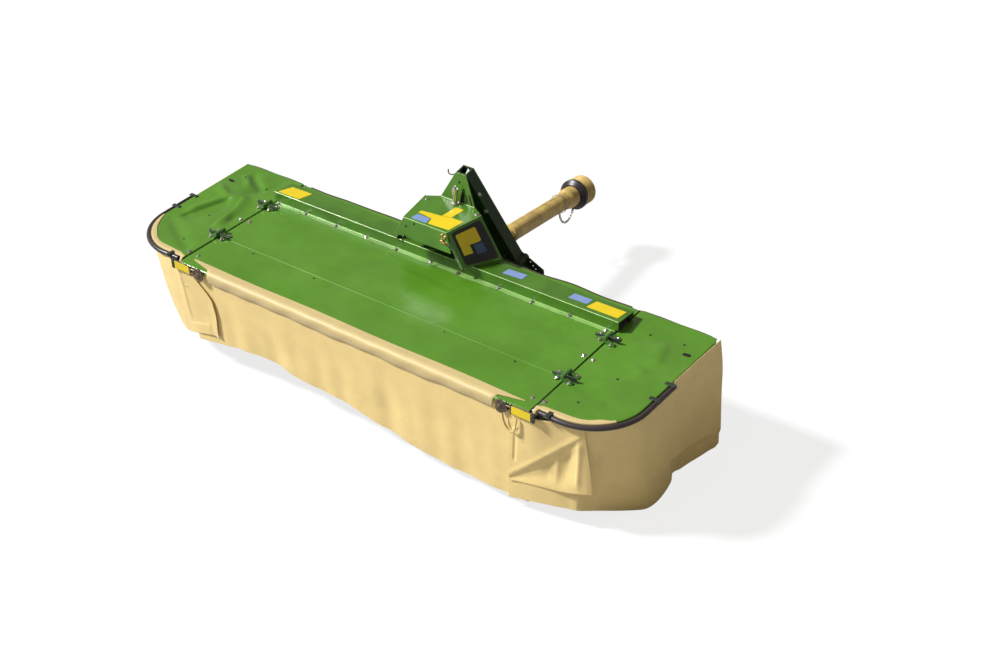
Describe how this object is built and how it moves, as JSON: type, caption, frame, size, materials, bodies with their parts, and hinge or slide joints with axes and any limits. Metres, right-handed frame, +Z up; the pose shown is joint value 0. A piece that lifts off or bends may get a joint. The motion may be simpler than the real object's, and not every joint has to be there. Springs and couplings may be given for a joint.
{
  "type": "front-mounted disc mower",
  "caption": "Front-mounted disc mower with a cloth-skirted deck, folding side guards, coupling triangle and telescoping drive shaft.",
  "frame": {"origin": "on the ground under the middle disc's axis, at the middle skid's sole", "axes": "+X across the machine, -Y forwards, +Y to the tractor, +Z up"},
  "size_m": [3.2826, 2.3326, 1.1278],
  "materials": {
    "green_sheet": "gloss",
    "green_frame": "gloss",
    "bar_paint": "satin",
    "disc_paint": "satin",
    "knife_steel": "ground",
    "skid_steel": "worn",
    "cloth": "coated cloth",
    "bumper_plastic": "matt",
    "clamp_steel": "satin",
    "guard_plastic": "satin",
    "ring_plastic": "satin",
    "shaft_steel": "greased",
    "gear_cast": "painted",
    "latch_steel": "zinc",
    "chain_steel": "zinc",
    "stand_paint": "satin"
  },
  "bodies": {
    "frame": {"cutterbar": "bar_paint", "skids": "skid_steel", "hangers": "green_frame", "cross_beam": "green_sheet", "deck": "green_sheet", "rear_strip": "green_sheet", "guard_frame": "green_frame", "hinge_brackets": "green_frame", "front_curtain": "cloth", "latches": "latch_steel", "headstock_cowl": "green_sheet", "coupling_triangle": "green_frame", "headstock_arms": "green_frame", "headstock_riser": "green_sheet", "coupling_latch": "latch_steel", "gearbox": "gear_cast", "side_drive": "gear_cast", "input_joint": "shaft_steel", "shaft_rest": "green_frame", "stand_brackets": "green_frame"},
    "guard_left": {"side_cover_left": "green_sheet", "side_frame_left": "green_frame", "bumper_left": "bumper_plastic", "bumper_clamps_left": "clamp_steel", "corner_curtain_left": "cloth"},
    "guard_right": {"side_cover_right": "green_sheet", "side_frame_right": "green_frame", "bumper_right": "bumper_plastic", "bumper_clamps_right": "clamp_steel", "corner_curtain_right": "cloth"},
    "rotor_1": {"disc_1": "disc_paint", "knives_1": "knife_steel", "drum_left": "disc_paint"},
    "rotor_2": {"disc_2": "disc_paint", "knives_2": "knife_steel"},
    "rotor_3": {"disc_3": "disc_paint", "knives_3": "knife_steel"},
    "rotor_4": {"disc_4": "disc_paint", "knives_4": "knife_steel"},
    "rotor_5": {"disc_5": "disc_paint", "knives_5": "knife_steel"},
    "rotor_6": {"disc_6": "disc_paint", "knives_6": "knife_steel"},
    "rotor_7": {"disc_7": "disc_paint", "knives_7": "knife_steel", "drum_right": "disc_paint"},
    "shaft_swing": {"inner_shaft": "shaft_steel", "inner_guard_tube": "guard_plastic"},
    "shaft_slide": {"outer_guard_tube": "guard_plastic", "guard_ring": "ring_plastic", "guard_bell": "guard_plastic", "guard_chain": "chain_steel"},
    "shaft_spin": {"outer_shaft": "shaft_steel"},
    "stand_left": {"stand_left": "stand_paint"},
    "stand_right": {"stand_right": "stand_paint"}
  },
  "joints": [
    {"name": "guard_left_fold", "type": "hinge", "parent": "frame", "child": "guard_left", "pos_m": [-1.148, 0, 0.707], "axis": [0, 1, 0], "range_deg": [0, 95]},
    {"name": "guard_right_fold", "type": "hinge", "parent": "frame", "child": "guard_right", "pos_m": [1.148, 0, 0.707], "axis": [0, -1, 0], "range_deg": [0, 95]},
    {"name": "rotor_1_spin", "type": "hinge", "parent": "frame", "child": "rotor_1", "pos_m": [-1.332, 0, 0.1], "axis": [0, 0, 1], "continuous": true},
    {"name": "rotor_2_spin", "type": "hinge", "parent": "frame", "child": "rotor_2", "pos_m": [-0.888, 0, 0.1], "axis": [0, 0, 1], "continuous": true},
    {"name": "rotor_3_spin", "type": "hinge", "parent": "frame", "child": "rotor_3", "pos_m": [-0.444, 0, 0.1], "axis": [0, 0, 1], "continuous": true},
    {"name": "rotor_4_spin", "type": "hinge", "parent": "frame", "child": "rotor_4", "pos_m": [0, 0, 0.1], "axis": [0, 0, 1], "continuous": true},
    {"name": "rotor_5_spin", "type": "hinge", "parent": "frame", "child": "rotor_5", "pos_m": [0.444, 0, 0.1], "axis": [0, 0, 1], "continuous": true},
    {"name": "rotor_6_spin", "type": "hinge", "parent": "frame", "child": "rotor_6", "pos_m": [0.888, 0, 0.1], "axis": [0, 0, 1], "continuous": true},
    {"name": "rotor_7_spin", "type": "hinge", "parent": "frame", "child": "rotor_7", "pos_m": [1.332, 0, 0.1], "axis": [0, 0, 1], "continuous": true},
    {"name": "shaft_swing", "type": "hinge", "parent": "frame", "child": "shaft_swing", "pos_m": [0, 0.66, 0.54], "axis": [1, 0, 0], "range_deg": [0, 25]},
    {"name": "shaft_telescope", "type": "slide", "parent": "shaft_swing", "child": "shaft_slide", "axis": [0, 0.9957, -0.0924], "range_m": [-0.1, 0.3]},
    {"name": "shaft_spin", "type": "hinge", "parent": "shaft_slide", "child": "shaft_spin", "pos_m": [0, 0.66, 0.54], "axis": [0, 0.9957, -0.0924], "continuous": true},
    {"name": "stand_left_fold", "type": "hinge", "parent": "frame", "child": "stand_left", "pos_m": [-0.62, 0.479, 0.55], "axis": [0, 1, 0], "range_deg": [0, 90]},
    {"name": "stand_right_fold", "type": "hinge", "parent": "frame", "child": "stand_right", "pos_m": [0.62, 0.479, 0.55], "axis": [0, -1, 0], "range_deg": [0, 90]}
  ],
  "couplings": [
    {"joint": "rotor_2_spin", "follows": "rotor_1_spin", "ratio": 1},
    {"joint": "rotor_3_spin", "follows": "rotor_1_spin", "ratio": -1},
    {"joint": "rotor_4_spin", "follows": "rotor_1_spin", "ratio": 1},
    {"joint": "rotor_5_spin", "follows": "rotor_1_spin", "ratio": -1},
    {"joint": "rotor_6_spin", "follows": "rotor_1_spin", "ratio": 1},
    {"joint": "rotor_7_spin", "follows": "rotor_1_spin", "ratio": -1}
  ]
}
